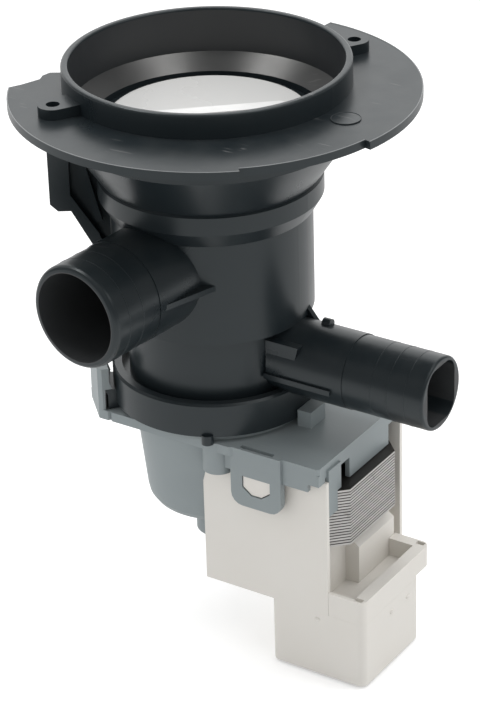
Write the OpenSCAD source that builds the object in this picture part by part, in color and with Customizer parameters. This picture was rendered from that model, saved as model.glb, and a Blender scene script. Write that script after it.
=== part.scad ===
// Washer drain pump: filter housing with two ports, carried by a flange, and a
// synchronous motor latched underneath. Millimetres, +Z up along the pump axis,
// origin on the axis at the flange's upper face. +X is the way the outlet points.

/* [Collar and flange] */
// Outer radius of the collar
collar_r = 55; // [52:0.5:60]
// Thickness of the collar's wall
collar_wall = 2.8; // [2:0.1:4]
// Height of the collar above the flange
collar_h = 9.5; // [6:0.5:16]
// Radius of the flange
flange_r = 78.1; // [76:0.1:86]
// How far the flange's centre lies from the axis
flange_shift = 6.6; // [3:0.1:9]
// Direction of the flange's centre from the axis, in degrees
flange_shift_angle = -31; // [-40:1:-20]
// Thickness of the flange
flange_t = 3.2; // [2.4:0.1:5]
// How far the front stretch of the flange's edge is set in
flange_step = 2.5; // [0.5:0.1:3]
// Radius of the circle that the two screw lugs sit on
lug_circle_r = 63.2; // [61:0.1:68]
// Direction of the first lug, in degrees; the second is opposite
lug_angle = -120.5; // [-125:0.5:-115]
// Radius of a lug
lug_r = 5.75; // [5:0.05:7]
// Height of a lug above the flange
lug_h = 4.2; // [2.5:0.1:6]
// Radius of a screw hole
screw_hole_r = 2.6; // [1.8:0.1:3]

/* [Throat and cup] */
// Depth of the collar's straight wall, from its rim
throat_depth = 18; // [14:0.5:20]
// Drop of the cone inside the throat
cone_drop = 5.5; // [3:0.1:6.5]
// Width of the groove between the cone and the cap
throat_groove_w = 5.4; // [3:0.1:6]
// Depth of that groove below the cone
throat_groove_h = 2.5; // [1:0.1:3]
// Wall of the cup that grips the tube
cup_wall = 4.35; // [3:0.05:5]
// Depth of the cup below the flange's upper face
cup_h = 50; // [46:0.5:56]
// Height of the bevel at the cup's foot
bevel_h = 6; // [3:0.1:8]
// Height of the band above the bevel
band_h = 7.2; // [4:0.1:9]
// Height of the funnel's outer slope above the band
funnel_h = 18.8; // [14:0.2:20]

/* [Bracket] */
// Direction of the hanging bracket post, in degrees
bracket_angle = -147; // [-150:1:-142]
// Outer reach of the post from the axis
post_reach = 62; // [58:0.5:66]
// Depth of the post below the flange's upper face
post_drop = 50.5; // [36:0.5:54]
// Radial depth of the post
post_depth = 8; // [5:0.5:10]
// Width of the post
post_w = 8; // [4:0.5:10]
// Thickness of the bracket's webs
web_t = 2.2; // [1.6:0.1:3]

/* [Body] */
// Outer radius of the tube
tube_r = 39.2; // [36:0.1:42]
// Wall of the tube
tube_wall = 2.6; // [2:0.1:3.2]
// Length of the tube from the cup's foot to the impeller chamber
tube_h = 42; // [39:0.5:60]
// How much narrower the impeller chamber is than the tube
chamber_step = 4.6; // [2:0.1:6]
// Wall of the impeller chamber
chamber_wall = 2.6; // [2:0.1:3.4]
// Height of the chamber from its top to the bayonet ring
chamber_h = 24.7; // [23:0.1:34]
// Radius of the eye that feeds the impeller
eye_r = 16; // [12:0.5:20]
// Thickness of the eye plate
eye_plate_t = 2; // [1.5:0.1:3]
// How far the bayonet ring stands out from the chamber
ring_overhang = 6.9; // [6:0.1:8]
// Wall of the bayonet ring
ring_wall = 3.3; // [2.4:0.1:4]
// Width of the flat land on top of the ring
ring_land = 3.8; // [3.6:0.1:5.6]
// Height of the bayonet ring
ring_h = 14; // [12:0.5:18]
// Depth of the groove between the ring and the chamber
groove_depth = 4; // [2:0.1:5]

/* [Inlet port] */
// Direction of the inlet, in degrees
inlet_angle = -96; // [-110:1:-85]
// Outer radius of the inlet
inlet_r = 20.6; // [18:0.1:21]
// Wall of the inlet
inlet_wall = 2.8; // [2.5:0.1:3]
// Reach of the inlet's end face from the axis
inlet_reach = 80.8; // [72:0.2:95]
// Length of the inlet that the hose covers
inlet_spigot = 24.8; // [16:0.1:25]
// Drop of the inlet's axis below the cup's foot
inlet_drop = 16.7; // [15:0.1:20]

/* [Outlet port] */
// Outer radius of the outlet
outlet_r = 14.8; // [13:0.1:15]
// Width of the outlet's rounded passage
outlet_bore_w = 21; // [18:0.1:21.6]
// Height of the outlet's rounded passage
outlet_bore_h = 24; // [20:0.1:24.6]
// Corner radius of the passage
outlet_corner_r = 6.5; // [5.5:0.1:9]
// Reach of the outlet's end face from the axis
outlet_reach = 101.3; // [90:0.5:115]
// Length of the outlet that the hose covers
outlet_spigot = 35; // [20:0.5:36]
// Drop of the outlet's axis below the top of the chamber
outlet_drop = 14.6; // [14:0.1:15.4]

/* [Filter] */
// Depth of the cap's face below the top of the throat's cone
cap_recess = 4.7; // [3:0.1:6]
// Thickness of the cap's rim
cap_t = 6; // [4:0.1:6.5]
// Length of the cap's grip
grip_l = 60; // [40:1:62]
// Thickness of the grip
grip_t = 6; // [4:0.1:9]
// Height of the grip
grip_h = 1.7; // [1:0.1:3]
// Section radius of the cap's sealing ring
cap_seal_r = 1.6; // [1.2:0.1:2]
// Wall of the lint basket
basket_wall = 2; // [1.6:0.1:3]
// Gap between the basket and the tube
basket_gap = 2.4; // [1.5:0.1:4]
// Gap under the basket
basket_foot_gap = 2; // [1:0.1:5]
// Number of slots round the basket
basket_slots = 16; // [10:1:20]
// Radius of the spigot that the cap turns on
spigot_r = 5; // [4:0.1:7]

/* [Impeller and rotor] */
// Radius of the impeller
impeller_r = 24; // [20:0.5:27]
// Number of blades
blades = 6; // [4:1:8]
// Thickness of a blade
blade_t = 2; // [1.4:0.1:3]
// Outer radius of the impeller's hub
hub_r = 9.6; // [9:0.1:11]
// Wall of the impeller's hub
hub_wall = 2; // [1.5:0.1:2.2]
// Free turn of the impeller on the dog, in degrees
free_turn = 180; // [90:5:220]
// Radius of the rotor shaft
shaft_r = 2; // [1.5:0.1:2.6]
// Radius of the rotor magnet
magnet_r = 13; // [11:0.1:13.4]
// Radius of the magnet's plastic hub
rotor_hub_r = 4; // [3.2:0.1:6]

/* [Motor] */
// Gap between the bayonet ring and the motor's plate
plate_gap = 3; // [1:0.1:4]
// Thickness of the plate
plate_t = 4; // [3:0.1:5]
// Reach of the plate's end from the axis
plate_reach = 66.8; // [64:0.2:70]
// Half width of the plate
plate_half_w = 32.9; // [32:0.1:34]
// Wall of the grey moulding
frame_wall = 1.6; // [1.2:0.1:2]
// Radius of the rotor cup at the plate
cup_top_r = 33; // [31:0.1:34]
// Radius of the rotor cup at its foot
cup_foot_r = 29.6; // [28:0.1:31]
// Height of the skirt along the plate's edge
skirt_h = 11; // [9:0.5:13]
// Drop of the laminations below the plate
core_drop = 10.6; // [10:0.1:16]
// Height of the lamination stack
core_h = 25.2; // [20:0.2:28]
// Number of laminations that show
laminations = 20; // [12:1:24]
// How far the stack's end face stands past the plate
core_proud = 4.5; // [3:0.1:6]
// Half width of the stack's end face
core_face_half_w = 17.1; // [15:0.1:19]
// Chamfer at the stack's end
core_chamfer = 6.5; // [3:0.1:7]
// Half width of a leg's outer side
leg_out = 17; // [16.4:0.1:17.4]
// Half width of a leg's inner side
leg_in = 7.5; // [7:0.1:9]

/* [Casing and terminals] */
// Start of the coil cover from the axis
cover_start = 11; // [10.8:0.1:12]
// How far the coil cover's end stands past the plate's end
cover_past = 1; // [0.5:0.1:2]
// Half width of the coil cover
cover_half_w = 29; // [27:0.1:29.2]
// Wall of the coil cover
cover_wall = 1.8; // [1.4:0.1:2.4]
// Height of the coil cover
cover_h = 67.4; // [64:0.2:80]
// Length of the terminal box
box_l = 42.6; // [39:0.1:46]
// Width of the terminal box
box_w = 43.6; // [40:0.1:48]
// Height of the terminal box below the coil cover
box_h = 28.5; // [24:0.1:36]
// Wall of the terminal box
box_wall = 2; // [1.6:0.1:2.6]
// Width of the shelf over the terminal box
shelf_w = 52.3; // [49:0.1:56]
// Width of a terminal tab
tab_w = 6.3; // [4.8:0.1:6.5]
// Thickness of a terminal tab
tab_t = 0.8; // [0.5:0.1:1]
// Length of a terminal tab
tab_l = 13; // [10:0.5:16]

/* [Clearances] */
// Gap in a fixed joint between two mouldings
joint_gap = 0.1; // [0.05:0.01:0.2]
// Gap between pieces that move past each other
move_gap = 0.4; // [0.3:0.05:0.6]
// Radial gap of a running fit
run_gap = 0.05; // [0.02:0.01:0.09]
// Gap between the rotor magnet and its can
rotor_gap = 1.4; // [1:0.1:1.6]

/* [Hidden] */
$fn = 96;

// Overlap that joins two shapes of one piece, and overrun of a cut
eps = 1;
// Small step that keeps two faces of one piece apart
step_in = 0.05;

// Colours
black = [0.16, 0.17, 0.18];
grey = [0.52, 0.56, 0.57];
white = [0.86, 0.84, 0.81];
steel = [0.62, 0.62, 0.61];
rubber = [0.08, 0.08, 0.09];
copper = [0.66, 0.36, 0.18];

// Levels, from the flange down
z_rim = collar_h;
z_cone_top = collar_h - throat_depth;
z_cone_foot = z_cone_top - cone_drop;
z_cup_foot = -cup_h;
z_band_top = z_cup_foot + bevel_h + band_h;
z_throat_groove = z_cone_foot - throat_groove_h;
z_cap_top = z_cone_top - cap_recess;
z_tube_top = z_cap_top - cap_t - move_gap;
z_chamber_top = z_cup_foot - tube_h;
z_ring_top = z_chamber_top - chamber_h;
z_ring_foot = z_ring_top - ring_h;
z_plate_top = z_ring_foot - plate_gap;
z_plate_foot = z_plate_top - plate_t;
z_core_top = z_plate_foot - core_drop;
z_core_foot = z_core_top - core_h;
z_cover_foot = z_plate_top - cover_h;
z_box_foot = z_cover_foot - box_h;
z_inlet = z_cup_foot - inlet_drop;
z_outlet = z_chamber_top - outlet_drop;

// Radii that follow from the driving ones
collar_in = collar_r - collar_wall;
cup_in = tube_r + joint_gap;
cone_foot_r = cup_in + throat_groove_w;
cup_r = cup_in + cup_wall;
tube_in = tube_r - tube_wall;
chamber_r = tube_r - chamber_step;
chamber_in = chamber_r - chamber_wall;
ring_r = chamber_r + ring_overhang;
ring_in = ring_r - ring_land;
spigot_in = ring_r - ring_wall;
flange_centre = flange_shift * [cos(flange_shift_angle), sin(flange_shift_angle)];
z_shoulder = z_ring_top - ring_h / 2;
core_reach = plate_reach + core_proud;
cover_reach = plate_reach + cover_past;

// Small roundings
edge_r = 0.9;
outlet_mouth_r = 1.1;
inlet_mouth_r = 2.4;

// Points of an arc round (cx, cy), used to round a corner of a profile
function arc(cx, cy, r, from, to, steps = 4) =
    [for (i = [0:steps]) let (a = from + (to - from) * i / steps) [cx + r * cos(a), cy + r * sin(a)]];

module block(x, y, z) {
    translate([x[0], y[0], z[0]])
        cube([x[1] - x[0], y[1] - y[0], z[1] - z[0]]);
}

module ring(ro, ri, z) {
    translate([0, 0, z[0]])
        difference() {
            cylinder(r = ro, h = z[1] - z[0]);
            translate([0, 0, -eps])
                cylinder(r = ri, h = z[1] - z[0] + 2 * eps);
        }
}

module rod(r, z) {
    translate([0, 0, z[0]])
        cylinder(r = r, h = z[1] - z[0]);
}

// Flat wedge from the axis between two directions
module wedge(r, from, to) {
    mid = (from + to) / 2;
    reach = r / cos((to - from) / 4);
    polygon([[0, 0], reach * [cos(from), sin(from)], reach * [cos(mid), sin(mid)], reach * [cos(to), sin(to)]]);
}

// Square with round corners, centred
module soft_square(w, h, r) {
    square([w - 2 * r, h], center = true);
    square([w, h - 2 * r], center = true);
    for (x = [-1, 1], y = [-1, 1])
        translate([x * (w / 2 - r), y * (h / 2 - r)])
            circle(r = r);
}

// Plate of the given thickness standing in the XZ plane, drawn as [x, z] points
module upright(t) {
    translate([0, t / 2, 0])
        rotate([90, 0, 0])
            linear_extrude(t)
                children();
}

// Moves a shape drawn along +Z to lie along a port's axis
module along(angle, z) {
    translate([0, 0, z])
        rotate([0, 0, angle])
            rotate([0, 90, 0])
                children();
}

// Mounting flange

// Directions, in degrees, between which the flange's edge changes
front_step_from = -49;
front_step_to = -13;
flange_end_angle = 83;
// Corners of the flange's cut left end, as shares of its radius
left_end = [[-0.6, -0.2], [-0.736, -0.279], [-0.746, -0.327], [-0.73, -0.371],
            [-0.768, -0.471], [-0.798, -0.525], [-0.9, -0.72]];
band_ledge = 0.8;
witness_r = 5.6;
witness_t = 0.3;

module flange_outline() {
    difference() {
        intersection() {
            translate(flange_centre)
                circle(r = flange_r);
            polygon(concat([[0, 0]], [for (p = left_end) flange_r * p],
                [[-flange_r, -2 * flange_r], [2 * flange_r, -2 * flange_r], [2 * flange_r, flange_r],
                 2 * flange_r * [cos(flange_end_angle), sin(flange_end_angle)]]));
        }
        difference() {
            wedge(2 * flange_r, front_step_from, front_step_to);
            translate(flange_centre)
                circle(r = flange_r - flange_step);
        }
    }
}

module screw_lug(angle) {
    rotate([0, 0, angle])
        translate([0, 0, -flange_t]) {
            translate([lug_circle_r, 0, 0])
                cylinder(r = lug_r, h = flange_t + lug_h);
            block([collar_r - collar_wall / 2, lug_circle_r], [-lug_r, lug_r], [0, flange_t + lug_h]);
        }
}

module screw_holes() {
    for (angle = [lug_angle, lug_angle + 180])
        rotate([0, 0, angle])
            translate([lug_circle_r, 0, -flange_t - eps])
                cylinder(r = screw_hole_r, h = flange_t + lug_h + 2 * eps);
}

// Collar, funnel and cup as one turned profile
module collar_profile() {
    polygon(concat(
        arc(collar_in + edge_r, z_rim - edge_r, edge_r, 180, 90),
        arc(collar_r - edge_r, z_rim - edge_r, edge_r, 90, 0),
        [[collar_r, z_band_top + funnel_h], [cup_r - band_ledge, z_band_top + band_ledge],
         [cup_r, z_band_top], [cup_r, z_cup_foot + bevel_h], [cup_in + band_ledge, z_cup_foot],
         [cup_in, z_cup_foot], [cup_in, z_throat_groove], [cone_foot_r, z_throat_groove],
         [cone_foot_r, z_cone_foot], [collar_in, z_cone_top]]));
}

module bracket() {
    web_drop = 12.5;
    web_in = cup_in;
    web_foot = post_drop + web_drop;
    foot_chamfer = 3;
    rotate([0, 0, bracket_angle]) {
        upright(post_w)
            polygon([[post_reach - post_depth, 0], [post_reach, 0], [post_reach, -post_drop + foot_chamfer],
                     [post_reach - foot_chamfer, -post_drop], [post_reach - post_depth, -post_drop]]);
        upright(web_t)
            polygon([[web_in, -flange_t / 2], [post_reach - eps, -flange_t / 2],
                     [post_reach - post_depth + eps, -post_drop], [web_in + 4, -web_foot], [web_in, -web_foot]]);
        upright(post_w)
            polygon([[post_reach - post_depth, -post_drop + 3 * web_t], [post_reach - post_depth, -post_drop],
                     [web_in + 6, -web_foot - 4], [web_in + 4, -web_foot + web_t]]);
    }
}

// Space of the throat and the tube, which the bracket stays out of
module bracket_room() {
    margin = collar_wall / 2;
    rotate_extrude()
        polygon([[0, z_rim], [collar_in + margin, z_rim], [collar_in + margin, z_cone_top],
                 [cone_foot_r + margin, z_cone_foot], [cone_foot_r + margin, z_throat_groove - margin],
                 [cup_in + margin, z_throat_groove - margin], [cup_in + margin, 2 * z_cup_foot],
                 [0, 2 * z_cup_foot]]);
}

module mounting_flange() {
    witness = 0.82 * flange_r * [1, -0.086];
    color(black)
        difference() {
            union() {
                rotate_extrude()
                    collar_profile();
                translate([0, 0, -flange_t])
                    linear_extrude(flange_t)
                        difference() {
                            flange_outline();
                            circle(r = collar_r - collar_wall / 2);
                        }
                screw_lug(lug_angle);
                screw_lug(lug_angle + 180);
                difference() {
                    bracket();
                    bracket_room();
                }
                translate([witness[0], witness[1], -flange_t / 2])
                    cylinder(r = witness_r, h = flange_t / 2 + witness_t);
            }
            screw_holes();
            along(inlet_angle, z_inlet)
                cylinder(r = inlet_r + hose_stop + joint_gap, h = inlet_reach);
        }
}

// Sump body

port_root = tube_in - 4;
hose_stop = 0.3;
taper_h = 1.5;
rib_t = 2.2;

// Port tube drawn along +Z with a rounded mouth; its root stands proud and stops the hose
module port_tube(r, reach, spigot, mouth_r) {
    root_r = r + hose_stop;
    rotate_extrude()
        polygon(concat([[0, port_root], [root_r, port_root], [root_r, reach - spigot], [r, reach - spigot]],
            arc(r - mouth_r, reach - mouth_r, mouth_r, 0, 90), [[0, reach]]));
}

// Outside of the tube, the chamber and the bayonet ring, drawn solid
module body_outside() {
    rotate_extrude()
        polygon([[0, z_tube_top], [tube_r, z_tube_top], [tube_r, z_chamber_top],
                 [chamber_r, z_chamber_top - taper_h], [chamber_r, z_ring_top - groove_depth],
                 [ring_in, z_ring_top - groove_depth], [ring_in, z_ring_top],
                 [ring_r - edge_r, z_ring_top], [ring_r, z_ring_top - edge_r],
                 [ring_r, z_ring_foot], [0, z_ring_foot]]);
}

// Hollow of the tube, the eye and the impeller chamber
module body_hollow() {
    rotate_extrude()
        polygon([[0, z_tube_top + eps], [tube_in, z_tube_top + eps], [tube_in, z_chamber_top],
                 [eye_r, z_chamber_top], [eye_r, z_chamber_top - eye_plate_t],
                 [chamber_in, z_chamber_top - eye_plate_t], [chamber_in, z_shoulder],
                 [spigot_in, z_shoulder], [spigot_in, z_ring_foot - eps], [0, z_ring_foot - eps]]);
}

// Thickened wall beside the outlet, and the ribs that brace both ports
module outlet_bracing() {
    pad_reach = chamber_r + 12;
    pad_w = outlet_r - 0.8;
    pad_top = 0.75 * outlet_r;
    fin_l = 20;
    z_fin = z_outlet - outlet_r / 6;
    gusset_y = outlet_r / 2;
    gusset_h = 4.2;
    gusset_l = 8;
    nub_l = 3.4;
    nub_x = tube_r + 10.3;
    translate([0, -pad_w / 2, z_outlet])
        upright(pad_w)
            polygon([[chamber_in, pad_top], [pad_reach, pad_top], [pad_reach - 1.5, pad_top / 2],
                     [pad_reach - 6, -outlet_r / 6], [chamber_in, -outlet_r / 6]]);
    block([chamber_in, ring_r + fin_l], [-outlet_r - rib_t / 2, 0], [z_fin - rib_t, z_fin]);
    translate([0, gusset_y, z_outlet])
        upright(rib_t)
            polygon([[tube_in + eps, outlet_r / 2], [tube_in + eps, outlet_r + gusset_h],
                     [tube_r + gusset_l, outlet_r / 2]]);
    translate([nub_x, outlet_r / 4, z_outlet + outlet_r])
        rotate([0, 90, 0])
            cylinder(r = rib_t, h = nub_l, center = true);
}

module inlet_bracing() {
    rotate([0, 0, inlet_angle])
        translate([0, 0, z_inlet - rib_t])
            linear_extrude(rib_t)
                polygon([[tube_in, 0], [tube_r + 15, 0], [tube_r + 15, inlet_r], [tube_r * 0.74, inlet_r + 5]]);
}

// Latches round the ring: the frame's hooks snap over the noses of the ring's ears
latch_arcs = [[-154, -132], [132, 154]];
ear_r = ring_r + 3.3;
ear_lift = 0.6;
ear_margin = 2;
nose_r = ear_r + 1;
z_ear_foot = z_plate_top + joint_gap;
z_nose_foot = z_plate_top + 6.3;
z_nose_top = z_plate_top + 8.7;
nose_lip = 0.4;

module ring_ears() {
    intersection() {
        rotate_extrude()
            polygon([[spigot_in + eps, z_ring_foot + ear_lift], [ring_r - eps, z_ring_foot + ear_lift],
                     [ring_r - eps, z_ear_foot], [ear_r, z_ear_foot], [ear_r, z_nose_foot],
                     [nose_r, z_nose_top - nose_lip], [nose_r, z_nose_top], [spigot_in + eps, z_nose_top]]);
        union()
            for (ends = latch_arcs)
                translate([0, 0, z_ear_foot - eps])
                    linear_extrude(z_nose_top - z_ear_foot + 2 * eps)
                        wedge(2 * nose_r, ends[0] + ear_margin, ends[1]);
    }
}

module sump_body() {
    peg_r = 2.4;
    peg_angle = -62.6;
    peg = spigot_in + peg_r + move_gap;
    color(black)
        difference() {
            union() {
                body_outside();
                along(inlet_angle, z_inlet)
                    port_tube(inlet_r, inlet_reach, inlet_spigot, inlet_mouth_r);
                along(0, z_outlet)
                    port_tube(outlet_r, outlet_reach, outlet_spigot, outlet_mouth_r);
                outlet_bracing();
                inlet_bracing();
                ring_ears();
                rotate([0, 0, peg_angle])
                    translate([peg, 0, z_plate_top])
                        cylinder(r = peg_r, h = plate_gap + eps);
            }
            body_hollow();
            along(inlet_angle, z_inlet)
                translate([0, 0, port_root - eps])
                    cylinder(r = inlet_r - inlet_wall, h = inlet_reach);
            along(0, z_outlet)
                translate([0, 0, eye_r])
                    linear_extrude(outlet_reach)
                        soft_square(outlet_bore_h, outlet_bore_w, outlet_corner_r);
        }
}

// Filter

cap_r = cup_in - move_gap;
plug_r = tube_in - move_gap;
plug_h = 9;
z_plug_foot = z_tube_top - plug_h;
z_cap_seal = z_tube_top - plug_h / 2;
z_basket_top = z_plug_foot - move_gap;
z_basket_foot = z_chamber_top + basket_foot_gap;
basket_r = tube_in - basket_gap;
basket_in = basket_r - basket_wall;
spigot_l = 9;
spider_t = 4;
spider_drop = 0.8;
rib_count = 4;
rib_w = 3;
key_count = 3;
key_w = 2.4;
key_l = 6;

module filter_cap() {
    dish = 1.5;
    dish_steps = 8;
    dish_r = cap_r - 2 * edge_r;
    seal_groove = 2 * cap_seal_r;
    color(white) {
        difference() {
            rotate_extrude()
                polygon(concat([[0, z_plug_foot], [plug_r, z_plug_foot], [plug_r, z_tube_top + move_gap],
                    [cap_r, z_tube_top + move_gap]],
                    arc(cap_r - edge_r, z_cap_top - edge_r, edge_r, 0, 90),
                    [for (i = [0:dish_steps])
                        let (t = 1 - i / dish_steps) [t * dish_r, z_cap_top - dish * (1 - t * t)]]));
            ring(plug_r + eps, plug_r - seal_groove, [z_cap_seal - cap_seal_r, z_cap_seal + cap_seal_r]);
        }
        rod(spigot_r, [z_plug_foot - spigot_l, z_plug_foot + eps]);
        rotate([0, 0, 41])
            translate([0, 0, z_cap_top - dish - eps])
                linear_extrude(grip_h + dish + eps)
                    soft_square(grip_l, grip_t, grip_t / 2 - 0.1);
    }
}

module filter_cap_seal() {
    color(rubber)
        translate([0, 0, z_cap_seal])
            rotate_extrude()
                translate([tube_in - run_gap - cap_seal_r, 0])
                    circle(r = cap_seal_r - run_gap);
}

// Lint basket, keyed so that its window faces the inlet
module filter_basket() {
    slot_w = 3.2;
    slot_from = z_basket_top - spider_t - 4;
    slot_to = z_basket_foot + 6;
    window_half = inlet_r - inlet_wall;
    window_edge = asin(window_half / basket_in) + 6;
    floor_t = 2;
    color(white)
        difference() {
            union() {
                rotate_extrude()
                    polygon([[eye_r, z_basket_foot], [basket_r, z_basket_foot], [basket_r, z_basket_top],
                             [basket_in, z_basket_top], [basket_in, z_basket_foot + floor_t],
                             [eye_r, z_basket_foot + floor_t]]);
                ring(spigot_r + 3, spigot_r + run_gap, [z_basket_top - spigot_l, z_basket_top - spider_drop / 2]);
                for (i = [0:key_count - 1])
                    rotate([0, 0, inlet_angle + (i + 1) * 360 / (key_count + 1)])
                        block([basket_r - basket_wall / 2, tube_in - move_gap], [-key_w / 2, key_w / 2],
                              [z_basket_top - key_l, z_basket_top - spider_drop]);
                for (i = [0:rib_count - 1])
                    rotate([0, 0, inlet_angle + 45 + i * 360 / rib_count])
                        block([spigot_r + 1, basket_in + eps / 2], [-rib_w / 2, rib_w / 2],
                              [z_basket_top - spider_t, z_basket_top - spider_drop]);
            }
            for (i = [0:basket_slots - 1])
                let (turn = (i + 0.5) * 360 / basket_slots)
                    if (turn > window_edge && turn < 360 - window_edge)
                        rotate([0, 0, inlet_angle + turn])
                            block([basket_in - eps, basket_r + eps], [-slot_w / 2, slot_w / 2],
                                  [slot_to, slot_from]);
            rotate([0, 0, inlet_angle])
                block([basket_in / 2, basket_r + eps], [-window_half, window_half],
                      [z_inlet - window_half + floor_t, z_inlet + window_half]);
        }
}

// Impeller chamber cover

cover_nose_r = chamber_in - joint_gap;
cover_flange_r = spigot_in - joint_gap;
z_cover_seat = z_shoulder - joint_gap;
nose_h = 3;
z_cover_top = z_cover_seat + nose_h;
chamber_seal_r = 1.4;
bush_r = 5;
mount_r = 8;
bush_l = 8;

module chamber_cover() {
    hub_in = mount_r;
    lip_r = shaft_r + 3;
    groove_z = (z_cover_seat + z_plate_top) / 2;
    color(grey)
        difference() {
            rotate_extrude()
                polygon([[hub_in, z_plate_top], [cover_flange_r, z_plate_top], [cover_flange_r, z_cover_seat],
                         [cover_nose_r, z_cover_seat], [cover_nose_r, z_cover_top], [lip_r, z_cover_top],
                         [lip_r, z_plate_top + bush_l], [hub_in, z_plate_top + bush_l]]);
            ring(cover_flange_r + eps, cover_flange_r - 2 * chamber_seal_r,
                 [groove_z - chamber_seal_r, groove_z + chamber_seal_r]);
        }
}

module chamber_seal() {
    groove_z = (z_cover_seat + z_plate_top) / 2;
    color(rubber)
        translate([0, 0, groove_z])
            rotate_extrude()
                translate([spigot_in - joint_gap / 2 - chamber_seal_r, 0])
                    circle(r = chamber_seal_r - joint_gap / 2);
}

// Impeller with a hollow hub, in which the drive dog has free turn

z_blade_foot = z_cover_top + 3.5;
z_lid_top = z_chamber_top - eye_plate_t - 4;
lid_t = 2;
dog_h = 5;
z_cavity_top = z_lid_top - lid_t;
z_cavity_foot = z_cavity_top - dog_h - 2 * move_gap;
cavity_r = hub_r - hub_wall;
dog_r = cavity_r - move_gap;
dog_angle = 40;
stop_slack = 4;
stop_angle = 360 - dog_angle - free_turn - 2 * stop_slack;
stop_from = dog_angle / 2 + free_turn + stop_slack;
disc_t = 2;

module impeller() {
    bore_r = shaft_r + run_gap;
    color([0.86, 0.86, 0.82])
        difference() {
            union() {
                rod(hub_r, [z_blade_foot, z_cavity_top]);
                rod(impeller_r, [z_blade_foot, z_blade_foot + disc_t]);
                for (i = [0:blades - 1])
                    rotate([0, 0, i * 360 / blades])
                        block([hub_r - hub_wall / 2, impeller_r], [-blade_t / 2, blade_t / 2],
                              [z_blade_foot + disc_t / 2, z_cavity_top - lid_t / 2]);
            }
            rod(bore_r, [z_blade_foot - eps, z_cavity_top + eps]);
            difference() {
                rod(cavity_r, [z_cavity_foot, z_cavity_top + eps]);
                translate([0, 0, z_cavity_foot - eps])
                    linear_extrude(dog_h + 4 * eps)
                        difference() {
                            intersection() {
                                circle(r = cavity_r + eps);
                                wedge(2 * cavity_r, stop_from, stop_from + stop_angle);
                            }
                            circle(r = shaft_r + 2.4);
                        }
            }
        }
}

module impeller_lid() {
    color([0.86, 0.86, 0.82])
        rotate_extrude()
            polygon([[0, z_cavity_top], [hub_r, z_cavity_top], [hub_r, z_lid_top - edge_r],
                     [hub_r - 2 * edge_r, z_lid_top], [0, z_lid_top]]);
}

module drive_dog() {
    collar = shaft_r + 2;
    color(white)
        translate([0, 0, z_cavity_foot + move_gap])
            linear_extrude(dog_h)
                difference() {
                    union() {
                        circle(r = collar);
                        intersection() {
                            circle(r = dog_r);
                            wedge(2 * dog_r, -dog_angle / 2, dog_angle / 2);
                        }
                    }
                    circle(r = shaft_r);
                }
}

// Rotor and its bearings

can_in = magnet_r + rotor_gap;
can_r = can_in + frame_wall;
z_can_foot = z_core_foot - 5;
z_magnet_foot = z_core_foot - 1;
z_magnet_top = z_core_top + 2;
washer_t = 0.8;
end_play = 0.3;
washer_r = rotor_hub_r;
z_front_bush_foot = z_plate_top;
z_hub_top = z_front_bush_foot - washer_t - end_play;
tail_wall = 2.6;
tail_r = mount_r + tail_wall;
tail_h = 21.5;
z_tail_foot = z_can_foot - tail_h;
z_tail_in = z_tail_foot + tail_wall;
z_rear_bush_foot = z_tail_in + end_play;
z_rear_bush_top = z_rear_bush_foot + bush_l;
z_hub_foot = z_rear_bush_top + end_play + washer_t;

module rotor_shaft() {
    color(steel)
        rod(shaft_r, [z_rear_bush_foot, z_cavity_foot + move_gap + dog_h]);
}

module rotor_hub() {
    color(white)
        ring(rotor_hub_r, shaft_r, [z_hub_foot, z_hub_top]);
}

module rotor_magnet() {
    color([0.2, 0.19, 0.19])
        ring(magnet_r, rotor_hub_r, [z_magnet_foot, z_magnet_top]);
}

module bush(z) {
    ring(bush_r, shaft_r + run_gap, z);
}

module front_bush() {
    color([0.55, 0.42, 0.24])
        bush([z_front_bush_foot, z_front_bush_foot + bush_l]);
}

module rear_bush() {
    color([0.55, 0.42, 0.24])
        bush([z_rear_bush_foot, z_rear_bush_top]);
}

module front_bush_mount() {
    color(rubber)
        ring(mount_r, bush_r, [z_front_bush_foot, z_front_bush_foot + bush_l]);
}

module rear_bush_mount() {
    color(rubber)
        ring(mount_r, bush_r, [z_rear_bush_foot, z_rear_bush_top]);
}

module thrust_washers() {
    color(steel) {
        ring(washer_r, shaft_r, [z_hub_top, z_hub_top + washer_t]);
        ring(washer_r, shaft_r, [z_hub_foot - washer_t, z_hub_foot]);
    }
}

module shaft_seal() {
    color(rubber)
        ring(shaft_r + 3, shaft_r + run_gap, [z_plate_top + bush_l, z_cover_top]);
}

// Motor frame

hook_r = ring_r + 10;
hook_in = nose_r + 2 * joint_gap;
tooth_r = ear_r - 1.7;
tooth_top_r = ear_r - 0.7;
tooth_rise = 3;
z_tooth = z_nose_top + joint_gap;
z_hook_top = z_ring_top + 1;
seat_margin = 2;
corner_sum = 68.6;
// Stop block for the twist, beside the ring and under the outlet
stop_r = ring_r + 6.2;
stop_y = [-7, 3.6];
stop_h = 7;
plate_flat = 70;
clip_x = [27.5, 50.3];
clip_drop = 25;
clip_out = plate_half_w + 1.3;
clip_t = 3;
window_x = [32.7, 45.4];
window_z = [11.6, 19.6];
boss_x = 19;
boss_out = plate_half_w + 2.9;
boss_r = 6.2;
boss_h = 14;
cup_floor_r = 7;
skirt_t = 2;
slot_x = [31, 46];
slot_edge = 1.3;
slot_w = 2;
leg_in_y = 18;
leg_drop = 8.7;
corner_h = 7.7;
corner_l = 5;
end_band_h = 5.7;
flap_y = [-10, 20];

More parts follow.
